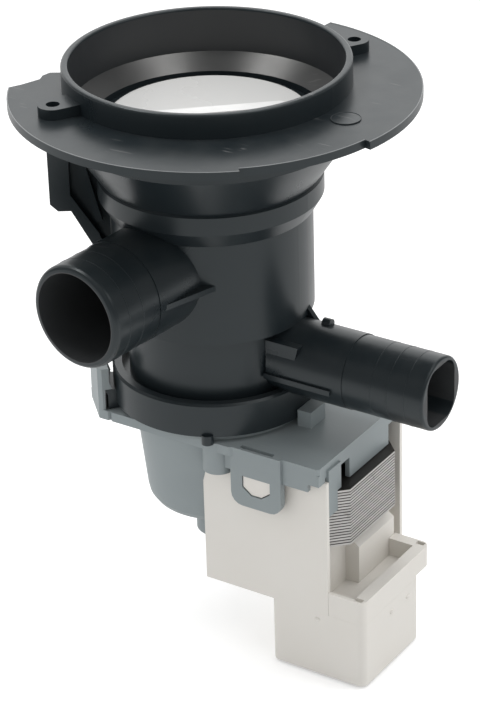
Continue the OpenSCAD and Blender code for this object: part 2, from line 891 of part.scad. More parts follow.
// Plan of the latch corners: two slices with their corners cut off
module latch_corners(margin, inset) {
    reach = corner_sum - inset;
    intersection() {
        circle(r = hook_r - inset);
        polygon([[reach, 0], [0, reach], [-reach, 0], [0, -reach]]);
        square([2 * plate_reach, plate_flat - 2 * inset], center = true);
        union()
            for (ends = latch_arcs)
                wedge(2 * hook_r, ends[0] - margin, ends[1] + margin);
    }
}

// Plate seen from above
module plate_outline() {
    end_cut = 1;
    plate_lip = 3;
    intersection() {
        circle(r = ring_r + plate_lip);
        square([2 * plate_reach, plate_flat], center = true);
    }
    latch_corners(seat_margin, 0);
    polygon([[0, -plate_half_w], [plate_reach - end_cut, -plate_half_w], [plate_reach, -plate_half_w + end_cut],
             [plate_reach, plate_half_w - end_cut], [plate_reach - end_cut, plate_half_w], [0, plate_half_w]]);
    for (side = [-1, 1])
        scale([1, side]) {
            translate([boss_x, boss_out - boss_r])
                circle(r = boss_r);
            translate([clip_x[0], 0])
                square([clip_x[1] - clip_x[0], clip_out]);
        }
}

// Turned shape of the rotor cup; inset draws its inside
module cup_profile(inset) {
    z_bend = z_can_foot + cup_floor_r;
    polygon(concat(
        [[0, z_plate_foot + eps], [cup_top_r - inset, z_plate_foot + eps], [cup_top_r - inset, z_plate_foot]],
        arc(cup_foot_r - cup_floor_r, z_bend, cup_floor_r - inset, 0, -90),
        [[0, z_can_foot + inset]]));
}

// Side tab with rounded lower corners, drawn on the -Y side
module clip_tab() {
    corner_r = 5;
    foot = z_plate_top - clip_drop;
    translate([0, clip_t / 2 - clip_out, 0])
        upright(clip_t)
            polygon(concat([[clip_x[1], z_plate_foot + eps], [clip_x[0], z_plate_foot + eps]],
                arc(clip_x[0] + corner_r, foot + corner_r, corner_r, 180, 270),
                arc(clip_x[1] - corner_r, foot + corner_r, corner_r, 270, 360)));
}

module clip_window() {
    side_cut = 4;
    foot_cut = 3;
    translate([0, clip_t / 2 - clip_out, z_plate_top])
        upright(clip_t + 2 * eps)
            polygon([[window_x[0], -window_z[0]], [window_x[1], -window_z[0]],
                     [window_x[1], -window_z[1] + foot_cut], [window_x[1] - side_cut, -window_z[1]],
                     [window_x[0] + side_cut, -window_z[1]], [window_x[0], -window_z[1] + foot_cut]]);
}

// Corner of the core's end, grown by a margin
module core_corner(margin) {
    side = core_face_half_w + core_chamfer + margin;
    lean = margin * tan(22.5);
    polygon([[0, -side], [core_reach - core_chamfer + lean, -side],
             [core_reach + margin, -core_face_half_w - lean], [core_reach + margin, 0], [0, 0]]);
}

// Leg at the plate's -Y corner, which holds the core's chamfer
module corner_leg() {
    leg_foot = z_core_top - leg_drop;
    difference() {
        block([plate_reach - skirt_t + step_in, cover_reach], [cover_wall + joint_gap - cover_half_w, -leg_in_y],
              [leg_foot, z_plate_foot + eps]);
        translate([0, 0, leg_foot - eps])
            linear_extrude(leg_drop + joint_gap + eps)
                core_corner(joint_gap);
    }
}

// End wall under the plate, with the flap that rests on the core
module end_wall() {
    flap_foot = z_core_top + joint_gap;
    band_foot = z_plate_top - end_band_h;
    corner_foot = z_plate_top - corner_h;
    half = plate_half_w - step_in;
    corner_y = cover_half_w - 1;
    translate([plate_reach - skirt_t, 0, 0])
        rotate([90, 0, 90])
            linear_extrude(skirt_t - step_in)
                polygon([[-half, z_plate_foot + eps], [-half, corner_foot], [-corner_y, corner_foot],
                         [-corner_y, band_foot], [flap_y[0], band_foot], [flap_y[0], flap_foot],
                         [flap_y[1], flap_foot], [flap_y[1], band_foot], [corner_y, band_foot],
                         [corner_y, corner_foot], [half, corner_foot], [half, z_plate_foot + eps]]);
}

// Hooks on the plate, each with a tooth that points inwards
module latch_hooks() {
    intersection() {
        rotate_extrude()
            polygon([[hook_in, z_plate_foot + eps], [hook_r, z_plate_foot + eps], [hook_r, z_hook_top],
                     [tooth_top_r, z_hook_top], [tooth_top_r, z_tooth + tooth_rise], [tooth_r, z_tooth],
                     [hook_in, z_tooth]]);
        translate([0, 0, z_plate_foot])
            linear_extrude(z_hook_top + eps - z_plate_foot)
                latch_corners(0, step_in);
    }
    block([ring_r + joint_gap, stop_r], stop_y, [z_plate_top - eps, z_plate_top + stop_h]);
}

module motor_frame() {
    color(grey)
        difference() {
            union() {
                translate([0, 0, z_plate_foot])
                    linear_extrude(plate_t)
                        plate_outline();
                difference() {
                    block([boss_x, plate_reach - skirt_t / 2], [-plate_half_w, plate_half_w],
                          [z_plate_top - skirt_h, z_plate_foot + eps]);
                    block([boss_x - eps, plate_reach], [skirt_t - plate_half_w, plate_half_w - skirt_t],
                          [z_plate_top - skirt_h - eps, z_plate_foot + 2 * eps]);
                    block([plate_reach - corner_l, plate_reach], [-plate_half_w - eps, plate_half_w + eps],
                          [z_plate_top - skirt_h - eps, z_plate_top - corner_h + step_in]);
                }
                end_wall();
                corner_leg();
                for (side = [-1, 1])
                    scale([1, side, 1]) {
                        clip_tab();
                        translate([boss_x, boss_r - boss_out, z_plate_top - boss_h])
                            cylinder(r = boss_r, h = boss_h - eps);
                    }
                latch_hooks();
                rotate_extrude()
                    cup_profile(0);
                rotate_extrude()
                    polygon([[0, z_can_foot + eps], [tail_r, z_can_foot + eps], [tail_r, z_tail_foot + 5],
                             [tail_r - 5, z_tail_foot], [0, z_tail_foot]]);
            }
            // room for the rotor and its rear bearing
            rod(can_in, [z_can_foot + frame_wall, z_plate_top + eps]);
            rod(mount_r, [z_tail_in, z_plate_foot]);
            // room for the pole tips, and for the coil cover beside the rotor can
            difference() {
                union() {
                    intersection() {
                        rotate_extrude()
                            cup_profile(frame_wall);
                        rod(2 * cup_top_r, [z_can_foot, z_plate_foot]);
                    }
                    block([cover_start - joint_gap, plate_reach - skirt_t],
                          [-cover_half_w - joint_gap, cover_half_w + joint_gap], [z_cover_foot, z_plate_foot]);
                }
                rod(can_r, [z_cover_foot, z_plate_foot + eps]);
            }
            // windows of the side tabs and a narrow slot in the plate
            for (side = [-1, 1])
                scale([1, side, 1])
                    clip_window();
            block(slot_x, [slot_edge - clip_out, slot_edge + slot_w - clip_out],
                  [z_plate_top - plate_t / 2, z_plate_top + eps]);
        }
}

// Stator core, coils and cutout

pole_bore_r = can_r + 0.4;
pole_tip = 9;
yoke_t = 12;
lamination_gap = 0.3;

module core_outline(inset) {
    end_x = core_reach - inset;
    face = core_face_half_w - inset * 0.4;
    side = core_face_half_w + core_chamfer - inset;
    difference() {
        union() {
            polygon([[core_reach - yoke_t, -side], [end_x - core_chamfer, -side], [end_x, -face],
                     [end_x, face], [end_x - core_chamfer, side], [core_reach - yoke_t, side]]);
            for (side_y = [-1, 1])
                scale([1, side_y])
                    translate([-pole_tip, leg_in])
                        square([core_reach - yoke_t + pole_tip + eps, leg_out - leg_in - inset]);
        }
        circle(r = pole_bore_r);
    }
}

module stator_core() {
    pitch = core_h / laminations;
    color(steel)
        translate([0, 0, z_core_foot])
            for (i = [0:laminations - 1])
                translate([0, 0, i * pitch]) {
                    linear_extrude(pitch - lamination_gap)
                        core_outline(0);
                    if (i < laminations - 1)
                        translate([0, 0, pitch - lamination_gap])
                            linear_extrude(lamination_gap)
                                core_outline(lamination_gap);
                }
}

coil_can_gap = 6;
coil_end_gap = 2.3;
coil_x = [can_r + coil_can_gap, core_reach - yoke_t - coil_end_gap];
bobbin_wall = 1.2;
cheek_t = 1.6;
cheek_over = 5.4;
leg_fit = 0.1;
winding_under = 0.8;

// Rectangular sleeve round one leg, drawn for the leg on the +Y side
module leg_sleeve(x, inner, outer) {
    difference() {
        block(x, [leg_in - outer, leg_out + outer], [z_core_foot - outer, z_core_top + outer]);
        block([x[0] - eps, x[1] + eps], [leg_in - inner, leg_out + inner],
              [z_core_foot - inner, z_core_top + inner]);
    }
}

module bobbin() {
    leg_sleeve(coil_x, leg_fit, bobbin_wall);
    leg_sleeve([coil_x[0], coil_x[0] + cheek_t], leg_fit, cheek_over);
    leg_sleeve([coil_x[1] - cheek_t, coil_x[1]], leg_fit, cheek_over);
}

module winding() {
    leg_sleeve([coil_x[0] + cheek_t, coil_x[1] - cheek_t], bobbin_wall, cheek_over - winding_under);
}

module front_bobbin() {
    color(white)
        mirror([0, 1, 0])
            bobbin();
}

module rear_bobbin() {
    color(white)
        bobbin();
}

module front_winding() {
    color(copper)
        mirror([0, 1, 0])
            winding();
}

module rear_winding() {
    color(copper)
        winding();
}

module thermal_cutout() {
    cutout_l = 16;
    cutout_w = 6;
    cutout_h = 8;
    top = z_core_foot - cheek_over + winding_under;
    color([0.2, 0.2, 0.22])
        translate([(coil_x[0] + coil_x[1]) / 2, 0, top - cutout_h / 2])
            rotate([0, 90, 0])
                linear_extrude(cutout_l, center = true)
                    soft_square(cutout_h, cutout_w, 1.5);
}

// Coil cover, open at the top and at its end

module coil_cover() {
    wall = cover_wall;
    end_set_back = 8;
    end_wall_x = cover_reach - end_set_back;
    block_y = [-5, 22.4];
    block_slope = 5;
    leg_room = leg_out + 2 * joint_gap;
    z_end_top = z_core_foot - 4;
    color(white)
        difference() {
            union() {
                difference() {
                    block([cover_start, cover_reach], [-cover_half_w, cover_half_w], [z_cover_foot, z_plate_foot]);
                    block([cover_start + wall, cover_reach + eps], [wall - cover_half_w, cover_half_w - wall],
                          [z_cover_foot + wall, z_plate_foot + eps]);
                }
                // set-back end wall and the block that stands before it
                block([end_wall_x, end_wall_x + wall], [-cover_half_w + wall / 2, cover_half_w - wall / 2],
                      [z_cover_foot + wall / 2, z_end_top]);
                translate([0, block_y[1], 0])
                    rotate([90, 0, 0])
                        linear_extrude(block_y[1] - block_y[0])
                            polygon([[end_wall_x + wall / 2, z_cover_foot + wall / 2],
                                     [cover_reach, z_cover_foot + wall / 2],
                                     [cover_reach, z_end_top - block_slope], [end_wall_x + wall / 2, z_end_top]]);
            }
            rod(can_r + joint_gap, [z_can_foot - eps, z_plate_foot + eps]);
            block([cover_start - eps, cover_start + wall + eps], [-leg_room, leg_room],
                  [z_core_foot - joint_gap, z_plate_foot + eps]);
            // room for the end wall of the motor frame
            block([plate_reach - skirt_t - joint_gap, cover_reach + eps],
                  [-cover_half_w - eps, cover_half_w + eps],
                  [z_plate_top - corner_h - joint_gap, z_plate_foot + eps]);
        }
}

// Terminal box with its shelf, open underneath

box_overhang = 16.1;
box_x1 = cover_reach + box_overhang;
box_x0 = box_x1 - box_l;
box_y0 = -cover_half_w;
box_r = 3;
shelf_t = 10.4;
shelf_foot = 1.1;
rim_w = 5;
rim_t = 1.6;
tray_floor = 2.5;
notch_w = 3.6;
notch_l = 2.2;
foot_l = 5;
foot_h = 1.2;
box_top_t = 3;

module box_outline(inset) {
    translate([(box_x0 + box_x1) / 2, box_y0 + box_w / 2])
        soft_square(box_l - 2 * inset, box_w - 2 * inset, box_r - inset);
}

// Shelf seen from above, past the end of the coil cover
module shelf_outline(w) {
    past = box_x1 - step_in - cover_reach;
    intersection() {
        translate([cover_reach, box_y0 + w / 2])
            soft_square(2 * past, w - 2 * step_in, box_r);
        translate([cover_reach + joint_gap, box_y0])
            square([past, w]);
    }
}

module terminal_box() {
    z_top = z_cover_foot;
    z_shelf = z_top + shelf_t;
    color(white)
        difference() {
            union() {
                translate([0, 0, z_box_foot])
                    linear_extrude(box_h)
                        box_outline(0);
                translate([0, 0, z_top - eps])
                    linear_extrude(shelf_foot + 2 * eps)
                        shelf_outline(box_w);
                translate([0, 0, z_top + shelf_foot])
                    linear_extrude(shelf_t - shelf_foot)
                        shelf_outline(shelf_w);
                block([box_x0 + step_in, box_x0 + foot_l], [box_y0 + box_r, box_y0 + box_w - box_r],
                      [z_box_foot - foot_h, z_box_foot + eps]);
            }
            translate([0, 0, z_box_foot - foot_h - eps])
                linear_extrude(box_h + foot_h + eps - box_top_t)
                    box_outline(box_wall);
            // tray in the shelf, and the latch notches at the two ends of its rim
            block([cover_reach - eps, box_x1 - rim_w], [box_y0 + rim_t, box_y0 + shelf_w - rim_w],
                  [z_top + tray_floor, z_shelf + eps]);
            for (y = [box_y0 + rim_t / 2, box_y0 + shelf_w - rim_t / 2 - notch_l])
                block([box_x1 - rim_w, box_x1 - rim_w + notch_w], [y, y + notch_l],
                      [z_shelf - 2 * eps, z_shelf + eps]);
        }
}

module terminal_tabs() {
    tab_pitch = 10;
    middle = (box_x0 + box_x1) / 2;
    color([0.78, 0.66, 0.36])
        for (side = [-1, 1])
            block([middle + side * tab_pitch - tab_w / 2, middle + side * tab_pitch + tab_w / 2],
                  [box_y0 + box_w / 2 - tab_t / 2, box_y0 + box_w / 2 + tab_t / 2],
                  [z_cover_foot - box_top_t - tab_l, z_cover_foot - box_top_t]);
}

mounting_flange();
sump_body();
filter_cap();
filter_cap_seal();
filter_basket();
chamber_cover();
chamber_seal();
impeller();
impeller_lid();
drive_dog();
rotor_shaft();
rotor_hub();
rotor_magnet();
front_bush();
rear_bush();
front_bush_mount();
rear_bush_mount();
thrust_washers();
shaft_seal();
motor_frame();
stator_core();
front_bobbin();
rear_bobbin();
front_winding();
rear_winding();
thermal_cutout();
coil_cover();
terminal_box();
terminal_tabs();
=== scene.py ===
import math
import bpy
import bmesh
from mathutils import Matrix, Vector


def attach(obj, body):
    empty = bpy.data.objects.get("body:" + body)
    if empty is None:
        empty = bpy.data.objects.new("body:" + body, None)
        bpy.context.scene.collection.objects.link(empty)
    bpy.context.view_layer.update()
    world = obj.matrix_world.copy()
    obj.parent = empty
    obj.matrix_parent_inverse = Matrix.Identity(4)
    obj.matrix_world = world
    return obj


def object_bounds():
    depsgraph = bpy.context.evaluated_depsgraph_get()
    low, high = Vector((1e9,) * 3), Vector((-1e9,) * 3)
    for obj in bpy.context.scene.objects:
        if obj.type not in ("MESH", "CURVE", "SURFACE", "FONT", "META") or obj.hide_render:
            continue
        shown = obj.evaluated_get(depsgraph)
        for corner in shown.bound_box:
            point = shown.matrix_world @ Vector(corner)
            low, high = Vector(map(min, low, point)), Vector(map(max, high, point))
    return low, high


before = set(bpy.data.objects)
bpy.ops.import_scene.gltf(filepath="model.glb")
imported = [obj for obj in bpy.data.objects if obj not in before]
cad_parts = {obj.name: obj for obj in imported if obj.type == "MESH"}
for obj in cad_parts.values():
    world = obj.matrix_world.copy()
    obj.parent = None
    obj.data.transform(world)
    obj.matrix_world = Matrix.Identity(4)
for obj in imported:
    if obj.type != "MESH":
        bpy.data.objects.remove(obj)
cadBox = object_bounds()
mm = 0.001  # sizes of the part below are in millimetres, those of the stage in metres
print("stage 1: packed model loaded,", len(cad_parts), "nodes")


# shader helpers

def newGroup(name, inputs, outputs):
    group = bpy.data.node_groups.new(name, "ShaderNodeTree")
    for label, kind, value in inputs:
        socket = group.interface.new_socket(label, in_out="INPUT", socket_type=kind)
        socket.default_value = value
    for label, kind in outputs:
        group.interface.new_socket(label, in_out="OUTPUT", socket_type=kind)
    return group, group.nodes.new("NodeGroupInput"), group.nodes.new("NodeGroupOutput")


def addNode(tree, kind, inputs=(), **settings):
    node = tree.nodes.new(kind)
    for key, value in settings.items():
        setattr(node, key, value)
    for key, value in dict(inputs).items():
        if isinstance(value, bpy.types.NodeSocket):
            tree.links.new(value, node.inputs[key])
        else:
            node.inputs[key].default_value = value
    return node


def mathNode(tree, operation, a, b=0.0, clamp=False):
    return addNode(tree, "ShaderNodeMath", {0: a, 1: b}, operation=operation, use_clamp=clamp).outputs[0]


def rampBetween(tree, value, low, high):
    node = addNode(tree, "ShaderNodeMapRange", {"Value": value, "From Min": low, "From Max": high})
    return node.outputs["Result"]


def mixColour(tree, factor, first, second):
    node = addNode(tree, "ShaderNodeMix", {"Factor": factor}, data_type="RGBA")
    for index, colour in ((6, first), (7, second)):
        if isinstance(colour, bpy.types.NodeSocket):
            tree.links.new(colour, node.inputs[index])
        else:
            node.inputs[index].default_value = (*colour, 1.0)
    return node.outputs[2]


def facingUp(tree):
    normal = addNode(tree, "ShaderNodeNewGeometry").outputs["Normal"]
    return addNode(tree, "ShaderNodeSeparateXYZ", {"Vector": normal}).outputs["Z"]


# moulded grain: a fine uneven skin, for bump and for small changes of gloss
grainLook = {
    "fineScale": 900.0, "fineDetail": 3.0, "fineRough": 0.6,
    "broadScale": 45.0, "broadDetail": 4.0, "broadRough": 0.55,
    "patchRange": (0.32, 0.68),
}


def makeGrainGroup(look):
    group, enter, leave = newGroup(
        "mouldedGrain",
        [("Fine Scale", "NodeSocketFloat", look["fineScale"]),
         ("Broad Scale", "NodeSocketFloat", look["broadScale"])],
        [("Height", "NodeSocketFloat"), ("Patches", "NodeSocketFloat")])
    place = addNode(group, "ShaderNodeTexCoord").outputs["Object"]
    fine = addNode(group, "ShaderNodeTexNoise", {
        "Vector": place, "Scale": enter.outputs["Fine Scale"],
        "Detail": look["fineDetail"], "Roughness": look["fineRough"]})
    broad = addNode(group, "ShaderNodeTexNoise", {
        "Vector": place, "Scale": enter.outputs["Broad Scale"],
        "Detail": look["broadDetail"], "Roughness": look["broadRough"]})
    group.links.new(fine.outputs["Fac"], leave.inputs["Height"])
    group.links.new(rampBetween(group, broad.outputs["Fac"], *look["patchRange"]), leave.inputs["Patches"])
    return group


# handling scratches: short bright hairlines in a few directions, on faces that look up
scratchLook = {
    "density": 0.5, "scale": 60.0,
    "turns": (0.5, -0.9, 1.9), "seeds": (0.0, 3.7, 8.1),
    "stretch": (1.4, 16.0, 1.0), "hairDetail": 1.0, "hairRough": 0.4, "hairRange": (0.7, 0.76),
    "gateScale": 55.0, "gateDetail": 0.0, "gateRange": (0.6, 0.66),
    "upwardRange": (0.7, 0.95),
}


def makeScratchGroup(look):
    group, enter, leave = newGroup(
        "handlingScratches",
        [("Density", "NodeSocketFloat", look["density"]), ("Scale", "NodeSocketFloat", look["scale"])],
        [("Mask", "NodeSocketFloat")])
    place = addNode(group, "ShaderNodeTexCoord").outputs["Object"]
    gate = addNode(group, "ShaderNodeTexNoise", {
        "Vector": place, "Scale": look["gateScale"], "Detail": look["gateDetail"]})
    here = rampBetween(group, gate.outputs["Fac"], *look["gateRange"])
    total = None
    for turn, seed in zip(look["turns"], look["seeds"]):
        turned = addNode(group, "ShaderNodeMapping", {
            "Vector": place, "Rotation": (0.0, 0.0, turn),
            "Location": (seed, seed, seed), "Scale": look["stretch"]})
        hair = addNode(group, "ShaderNodeTexNoise", {
            "Vector": turned.outputs[0], "Scale": enter.outputs["Scale"],
            "Detail": look["hairDetail"], "Roughness": look["hairRough"]})
        line = rampBetween(group, hair.outputs["Fac"], *look["hairRange"])
        stroke = mathNode(group, "MULTIPLY", line, here)
        total = stroke if total is None else mathNode(group, "MAXIMUM", total, stroke)
    total = mathNode(group, "MULTIPLY", total, rampBetween(group, facingUp(group), *look["upwardRange"]))
    group.links.new(mathNode(group, "MULTIPLY", total, enter.outputs["Density"], True), leave.inputs["Mask"])
    return group


# settled dust: lies on faces that look up, in soft patches
dustLook = {
    "amount": 0.2, "scale": 30.0, "detail": 6.0, "rough": 0.65,
    "upwardRange": (0.3, 1.0), "patchRange": (0.42, 0.75),
}


def makeDustGroup(look):
    group, enter, leave = newGroup(
        "settledDust",
        [("Amount", "NodeSocketFloat", look["amount"]), ("Scale", "NodeSocketFloat", look["scale"])],
        [("Mask", "NodeSocketFloat")])
    place = addNode(group, "ShaderNodeTexCoord").outputs["Object"]
    cloud = addNode(group, "ShaderNodeTexNoise", {
        "Vector": place, "Scale": enter.outputs["Scale"],
        "Detail": look["detail"], "Roughness": look["rough"]})
    upward = rampBetween(group, facingUp(group), *look["upwardRange"])
    patch = rampBetween(group, cloud.outputs["Fac"], *look["patchRange"])
    lying = mathNode(group, "MULTIPLY", upward, patch)
    group.links.new(mathNode(group, "MULTIPLY", lying, enter.outputs["Amount"], True), leave.inputs["Mask"])
    return group


grainGroup = makeGrainGroup(grainLook)
scratchGroup = makeScratchGroup(scratchLook)
dustGroup = makeDustGroup(dustLook)
bumpDepth = 0.05  # height of the grain


def useGroup(tree, group, **values):
    node = tree.nodes.new("ShaderNodeGroup")
    node.node_tree = group
    for key, value in values.items():
        node.inputs[key.replace("_", " ")].default_value = value
    return node


def startMaterial(name):
    material = bpy.data.materials.new(name)
    material.use_nodes = True
    tree = material.node_tree
    return material, tree, tree.nodes["Principled BSDF"]


# moulded plastic, from one dictionary of looks
def makeMouldedPlastic(name, look):
    material, tree, shader = startMaterial(name)
    grain = useGroup(tree, grainGroup, Fine_Scale=look["grainScale"], Broad_Scale=look["patchScale"])
    scratches = useGroup(tree, scratchGroup, Density=look["scratches"], Scale=look["scratchScale"])
    dust = useGroup(tree, dustGroup, Amount=look["dust"], Scale=look["dustScale"])
    skin = mixColour(tree, grain.outputs["Patches"], look["colour"], look["patchColour"])
    scuffed = mixColour(tree, scratches.outputs["Mask"], skin, look["scratchColour"])
    dusty = mixColour(tree, dust.outputs["Mask"], scuffed, look["dustColour"])
    tree.links.new(dusty, shader.inputs["Base Color"])
    rough = addNode(tree, "ShaderNodeMapRange", {
        "Value": grain.outputs["Patches"], "To Min": look["rough"][0], "To Max": look["rough"][1]})
    tree.links.new(rough.outputs["Result"], shader.inputs["Roughness"])
    bump = addNode(tree, "ShaderNodeBump", {
        "Strength": look["bump"], "Distance": bumpDepth * mm, "Height": grain.outputs["Height"]})
    tree.links.new(bump.outputs["Normal"], shader.inputs["Normal"])
    shader.inputs["Specular IOR Level"].default_value = look["specular"]
    shader.inputs["Specular Tint"].default_value = (*look["glossTint"], 1.0)
    return material


blackPlastic = makeMouldedPlastic("blackPlastic", {
    "colour": (0.0122, 0.0172, 0.0202),
    "patchColour": (0.0146, 0.0199, 0.023),
    "rough": (0.27, 0.35),
    "specular": 0.5,
    "glossTint": (0.93, 0.99, 1.0),
    "grainScale": 1100.0,
    "patchScale": 38.0,
    "bump": 0.12,
    "scratches": 0.35,
    "scratchScale": 46.0,
    "scratchColour": (0.22, 0.22, 0.22),
    "dust": 0.1,
    "dustScale": 42.0,
    "dustColour": (0.2, 0.2, 0.19)})

# the throat is smoother, and its upright wall is painted paler than the cone: a painted light for the light
# that falls inside the collar
throatLook = {
    "colour": (0.014, 0.0158, 0.017),
    "patchColour": (0.0165, 0.0182, 0.0195),
    "rough": (0.3, 0.36),
    "specular": 1.0,
    "glossTint": (1.0, 0.99, 0.97),
    "grainScale": 1100.0,
    "patchScale": 50.0,
    "bump": 0.06,
    "scratches": 0.25,
    "scratchScale": 60.0,
    "scratchColour": (0.3, 0.3, 0.29),
    "dust": 0.06,
    "dustScale": 60.0,
    "dustColour": (0.2, 0.2, 0.19)}
throatCone = makeMouldedPlastic("throatCone", throatLook)
throatWallPaintedLight = makeMouldedPlastic("throatWallPaintedLight", {
    **throatLook,
    "colour": (0.026, 0.0285, 0.031),
    "patchColour": (0.029, 0.0315, 0.034),
    "specular": 0.5})

greyPlastic = makeMouldedPlastic("greyPlastic", {
    "colour": (0.255, 0.29, 0.30),
    "patchColour": (0.275, 0.312, 0.32),
    "rough": (0.38, 0.46),
    "specular": 0.45,
    "glossTint": (1.0, 1.0, 1.0),
    "grainScale": 1000.0,
    "patchScale": 30.0,
    "bump": 0.1,
    "scratches": 0.1,
    "scratchScale": 50.0,
    "scratchColour": (0.42, 0.45, 0.46),
    "dust": 0.12,
    "dustScale": 50.0,
    "dustColour": (0.36, 0.35, 0.33)})

whitePlastic = makeMouldedPlastic("whitePlastic", {
    "colour": (0.755, 0.728, 0.68),
    "patchColour": (0.77, 0.748, 0.705),
    "rough": (0.36, 0.44),
    "specular": 0.45,
    "glossTint": (1.0, 1.0, 1.0),
    "grainScale": 1000.0,
    "patchScale": 26.0,
    "bump": 0.08,
    "scratches": 0.12,
    "scratchScale": 55.0,
    "scratchColour": (0.55, 0.53, 0.5),
    "dust": 0.16,
    "dustScale": 60.0,
    "dustColour": (0.55, 0.51, 0.45)})

capPlastic = makeMouldedPlastic("capPlastic", {
    "colour": (0.64, 0.64, 0.63),
    "patchColour": (0.66, 0.66, 0.65),
    "rough": (0.22, 0.3),
    "specular": 0.5,
    "glossTint": (1.0, 1.0, 1.0),
    "grainScale": 900.0,
    "patchScale": 24.0,
    "bump": 0.05,
    "scratches": 0.1,
    "scratchScale": 60.0,
    "scratchColour": (0.6, 0.6, 0.58),
    "dust": 0.12,
    "dustScale": 60.0,
    "dustColour": (0.6, 0.58, 0.55)})


# punched sheet steel: each lamination keeps its own tone, with dark slits between the sheets
laminationLook = {
    "bright": (0.66, 0.65, 0.63),
    "dull": (0.4, 0.39, 0.375),
    "stain": (0.2, 0.165, 0.125),
    "gap": (0.03, 0.027, 0.025),
    # painted shade for the stack's flat faces
    "flatShade": (0.09, 0.085, 0.08),
    "pitch": 1.26, "foot": -173.5, "sheetShare": 0.68, "slitBlur": 0.04,
    "sheetTone": 0.45, "streakTone": 0.55,
    "streakStretch": (1.0, 1.0, 7.0), "streakScale": 260.0, "streakDetail": 4.0, "streakRough": 0.6,
    "rustScale": 95.0, "rustDetail": 5.0, "rustRough": 0.7, "rustRange": (0.62, 0.8),
    "flatRange": (0.4, 0.6),
    "rough": (0.3, 0.5),
    "metallic": 0.85,
}


def makeLaminationSteel(look):
    material, tree, shader = startMaterial("laminationSteel")
    place = addNode(tree, "ShaderNodeTexCoord").outputs["Object"]
    height = addNode(tree, "ShaderNodeSeparateXYZ", {"Vector": place}).outputs["Z"]
    above = mathNode(tree, "SUBTRACT", height, look["foot"] * mm)
    level = mathNode(tree, "DIVIDE", above, look["pitch"] * mm)
    sheet = addNode(tree, "ShaderNodeTexWhiteNoise", {"W": mathNode(tree, "FLOOR", level)},
                    noise_dimensions="1D").outputs["Value"]
    stretched = addNode(tree, "ShaderNodeMapping", {"Vector": place, "Scale": look["streakStretch"]})
    streak = addNode(tree, "ShaderNodeTexNoise", {
        "Vector": stretched.outputs[0], "Scale": look["streakScale"],
        "Detail": look["streakDetail"], "Roughness": look["streakRough"]}).outputs["Fac"]
    rust = addNode(tree, "ShaderNodeTexNoise", {
        "Vector": place, "Scale": look["rustScale"],
        "Detail": look["rustDetail"], "Roughness": look["rustRough"]}).outputs["Fac"]
    tone = mathNode(tree, "ADD", mathNode(tree, "MULTIPLY", sheet, look["sheetTone"]),
                    mathNode(tree, "MULTIPLY", streak, look["streakTone"]))
    metal = mixColour(tree, tone, look["dull"], look["bright"])
    stained = mixColour(tree, rampBetween(tree, rust, *look["rustRange"]), metal, look["stain"])
    slit = rampBetween(tree, mathNode(tree, "FRACT", level),
                       look["sheetShare"] - look["slitBlur"], look["sheetShare"] + look["slitBlur"])
    slitted = mixColour(tree, slit, stained, look["gap"])
    flat = rampBetween(tree, mathNode(tree, "ABSOLUTE", facingUp(tree)), *look["flatRange"])
    flatShaded = mixColour(tree, flat, slitted, look["flatShade"])  # flat faces are painted dark: painted shade for the shadow on the top of the stack
    tree.links.new(flatShaded, shader.inputs["Base Color"])
    rough = addNode(tree, "ShaderNodeMapRange", {
        "Value": streak, "To Min": look["rough"][0], "To Max": look["rough"][1]})
    tree.links.new(rough.outputs["Result"], shader.inputs["Roughness"])
    shader.inputs["Metallic"].default_value = look["metallic"]
    return material


# plain finishes, for small and hidden pieces
plainLooks = {
    "metal": {"fine": 700.0, "broad": 80.0, "shade": 0.82, "metallic": 1.0},
    "matt": {"fine": 800.0, "broad": 60.0, "shade": 0.85, "metallic": 0.0},
}


def makePlain(name, kind, colour, rough):
    look = plainLooks[kind]
    material, tree, shader = startMaterial(name)
    grain = useGroup(tree, grainGroup, Fine_Scale=look["fine"], Broad_Scale=look["broad"])
    low = tuple(look["shade"] * channel for channel in colour)
    tree.links.new(mixColour(tree, grain.outputs["Patches"], low, colour), shader.inputs["Base Color"])
    shader.inputs["Metallic"].default_value = look["metallic"]
    shader.inputs["Roughness"].default_value = rough
    return material


laminationSteel = makeLaminationSteel(laminationLook)
shaftSteel = makePlain("shaftSteel", "metal", (0.62, 0.62, 0.61), 0.22)
bushBronze = makePlain("bushBronze", "metal", (0.48, 0.33, 0.17), 0.45)
tabBrass = makePlain("tabBrass", "metal", (0.68, 0.55, 0.28), 0.3)
sealRubber = makePlain("sealRubber", "matt", (0.014, 0.014, 0.015), 0.7)
ferrite = makePlain("ferrite", "matt", (0.045, 0.043, 0.042), 0.6)
windingEnamel = makePlain("windingEnamel", "matt", (0.33, 0.11, 0.035), 0.35)
wheelPlastic = makePlain("wheelPlastic", "matt", (0.62, 0.62, 0.58), 0.4)

finishes = {
    "mounting_flange": blackPlastic, "sump_body": blackPlastic,
    "filter_cap": capPlastic, "filter_basket": capPlastic, "filter_cap_seal": sealRubber,
    "chamber_cover": greyPlastic, "chamber_seal": sealRubber,
    "impeller": wheelPlastic, "impeller_lid": wheelPlastic, "drive_dog": wheelPlastic,
    "rotor_shaft": shaftSteel, "rotor_hub": wheelPlastic, "rotor_magnet": ferrite,
    "front_bush": bushBronze, "rear_bush": bushBronze,
    "front_bush_mount": sealRubber, "rear_bush_mount": sealRubber,
    "thrust_washers": shaftSteel, "shaft_seal": sealRubber,
    "motor_frame": greyPlastic, "stator_core": laminationSteel,
    "front_bobbin": wheelPlastic, "rear_bobbin": wheelPlastic,
    "front_winding": windingEnamel, "rear_winding": windingEnamel,
    "thermal_cutout": sealRubber, "coil_cover": whitePlastic,
    "terminal_box": whitePlastic, "terminal_tabs": tabBrass}

for name, material in finishes.items():
    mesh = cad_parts[name].data
    mesh.materials.clear()
    mesh.materials.append(material)
